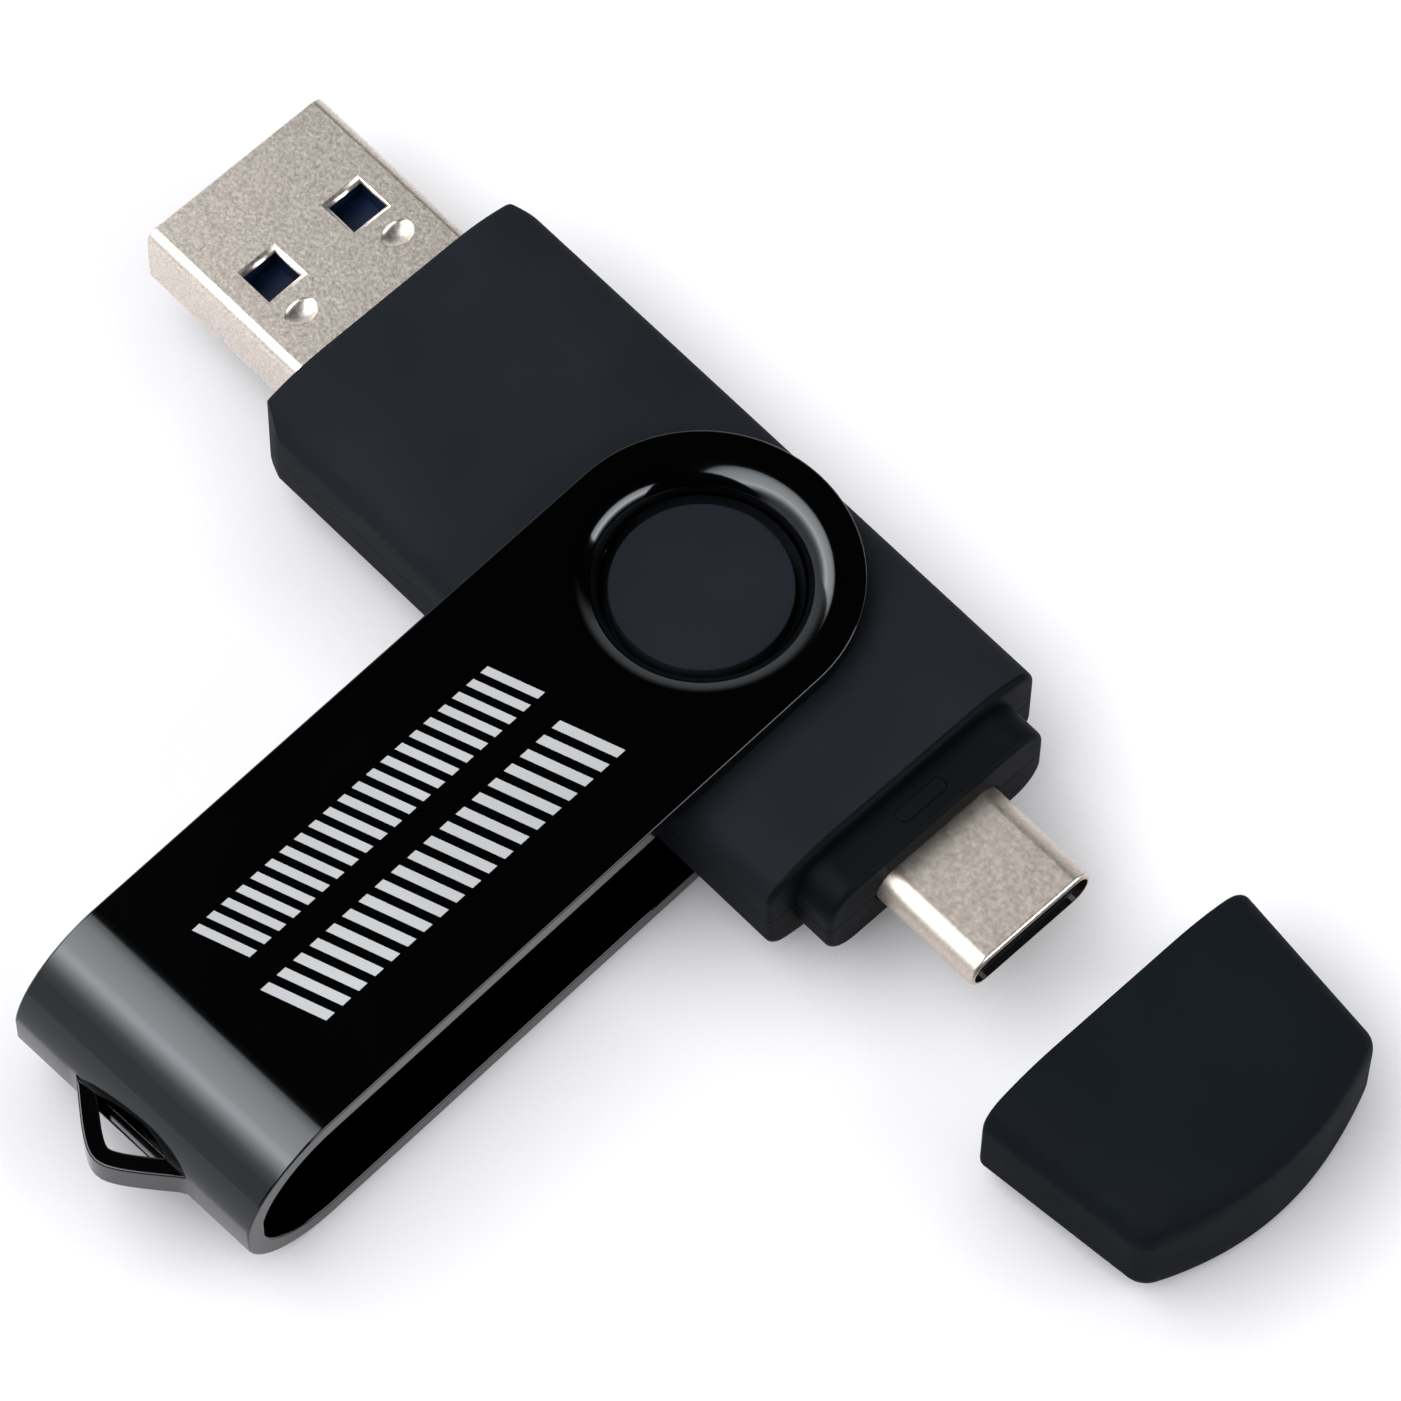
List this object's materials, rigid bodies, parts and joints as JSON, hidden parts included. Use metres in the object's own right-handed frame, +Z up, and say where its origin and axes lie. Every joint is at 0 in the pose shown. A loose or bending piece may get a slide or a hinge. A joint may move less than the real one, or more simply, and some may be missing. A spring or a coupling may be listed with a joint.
{
  "type": "usb flash drive",
  "caption": "Swivel USB flash drive with a USB-A plug, a capped USB-C plug and a turning U-shaped metal clip with a cord loop.",
  "frame": {"origin": "middle of the bounding box, on the table plane", "axes": "+X along the body from the USB-A plug to the USB-C plug, +Z up out of the table, parallel to the swivel axis"},
  "size_m": [0.0754, 0.0506, 0.0102],
  "materials": {
    "soft_touch_plastic": "soft-touch matte",
    "cap_plastic": "soft-touch matte",
    "black_paint": "gloss black paint on steel",
    "plug_steel": "satin",
    "blue_plastic": "moulded",
    "black_plastic": "moulded",
    "gold": "gold plated",
    "board": "solder mask",
    "chip_resin": "moulded",
    "capacitor": "fired"
  },
  "bodies": {
    "drive_body": {"housing_upper": "soft_touch_plastic", "housing_lower": "soft_touch_plastic", "usb_a_shell": "plug_steel", "usb_a_tongue": "blue_plastic", "usb_a_contact_1": "gold", "usb_a_contact_2": "gold", "usb_a_contact_3": "gold", "usb_a_contact_4": "gold", "usb_a_rear_contact_1": "gold", "usb_a_rear_contact_2": "gold", "usb_a_rear_contact_3": "gold", "usb_a_rear_contact_4": "gold", "usb_a_rear_contact_5": "gold", "usb_c_shell": "plug_steel", "usb_c_insulator": "black_plastic", "usb_c_mid_plate": "plug_steel", "usb_c_latch_left": "plug_steel", "usb_c_latch_right": "plug_steel", "usb_c_upper_contact_1": "gold", "usb_c_upper_contact_2": "gold", "usb_c_upper_contact_3": "gold", "usb_c_upper_contact_4": "gold", "usb_c_upper_contact_5": "gold", "usb_c_upper_contact_6": "gold", "usb_c_upper_contact_7": "gold", "usb_c_upper_contact_8": "gold", "usb_c_upper_contact_9": "gold", "usb_c_upper_contact_10": "gold", "usb_c_upper_contact_11": "gold", "usb_c_upper_contact_12": "gold", "usb_c_lower_contact_1": "gold", "usb_c_lower_contact_2": "gold", "usb_c_lower_contact_3": "gold", "usb_c_lower_contact_4": "gold", "usb_c_lower_contact_5": "gold", "usb_c_lower_contact_6": "gold", "usb_c_lower_contact_7": "gold", "usb_c_lower_contact_8": "gold", "usb_c_lower_contact_9": "gold", "usb_c_lower_contact_10": "gold", "circuit_board": "board", "flash_memory_chip": "chip_resin", "controller_chip": "chip_resin", "clock_crystal": "plug_steel", "voltage_regulator": "chip_resin", "capacitor_1": "capacitor", "capacitor_2": "capacitor", "capacitor_3": "capacitor", "capacitor_4": "capacitor", "resistor_1": "chip_resin", "resistor_2": "chip_resin"},
    "clip": {"swivel_clip": "black_paint"},
    "cap": {"usb_c_cap": "cap_plastic"}
  },
  "joints": [
    {"name": "clip_swivel", "type": "hinge", "parent": "drive_body", "child": "clip", "pos_m": [-0.0034, 0.01629, 0.0051], "axis": [0, 0, 1], "range_deg": [-228, 44]},
    {"name": "cap_slide", "type": "slide", "parent": "drive_body", "child": "cap", "axis": [-0.9955, 0.0204, 0.0929], "range_m": [0, 0.0147]}
  ]
}
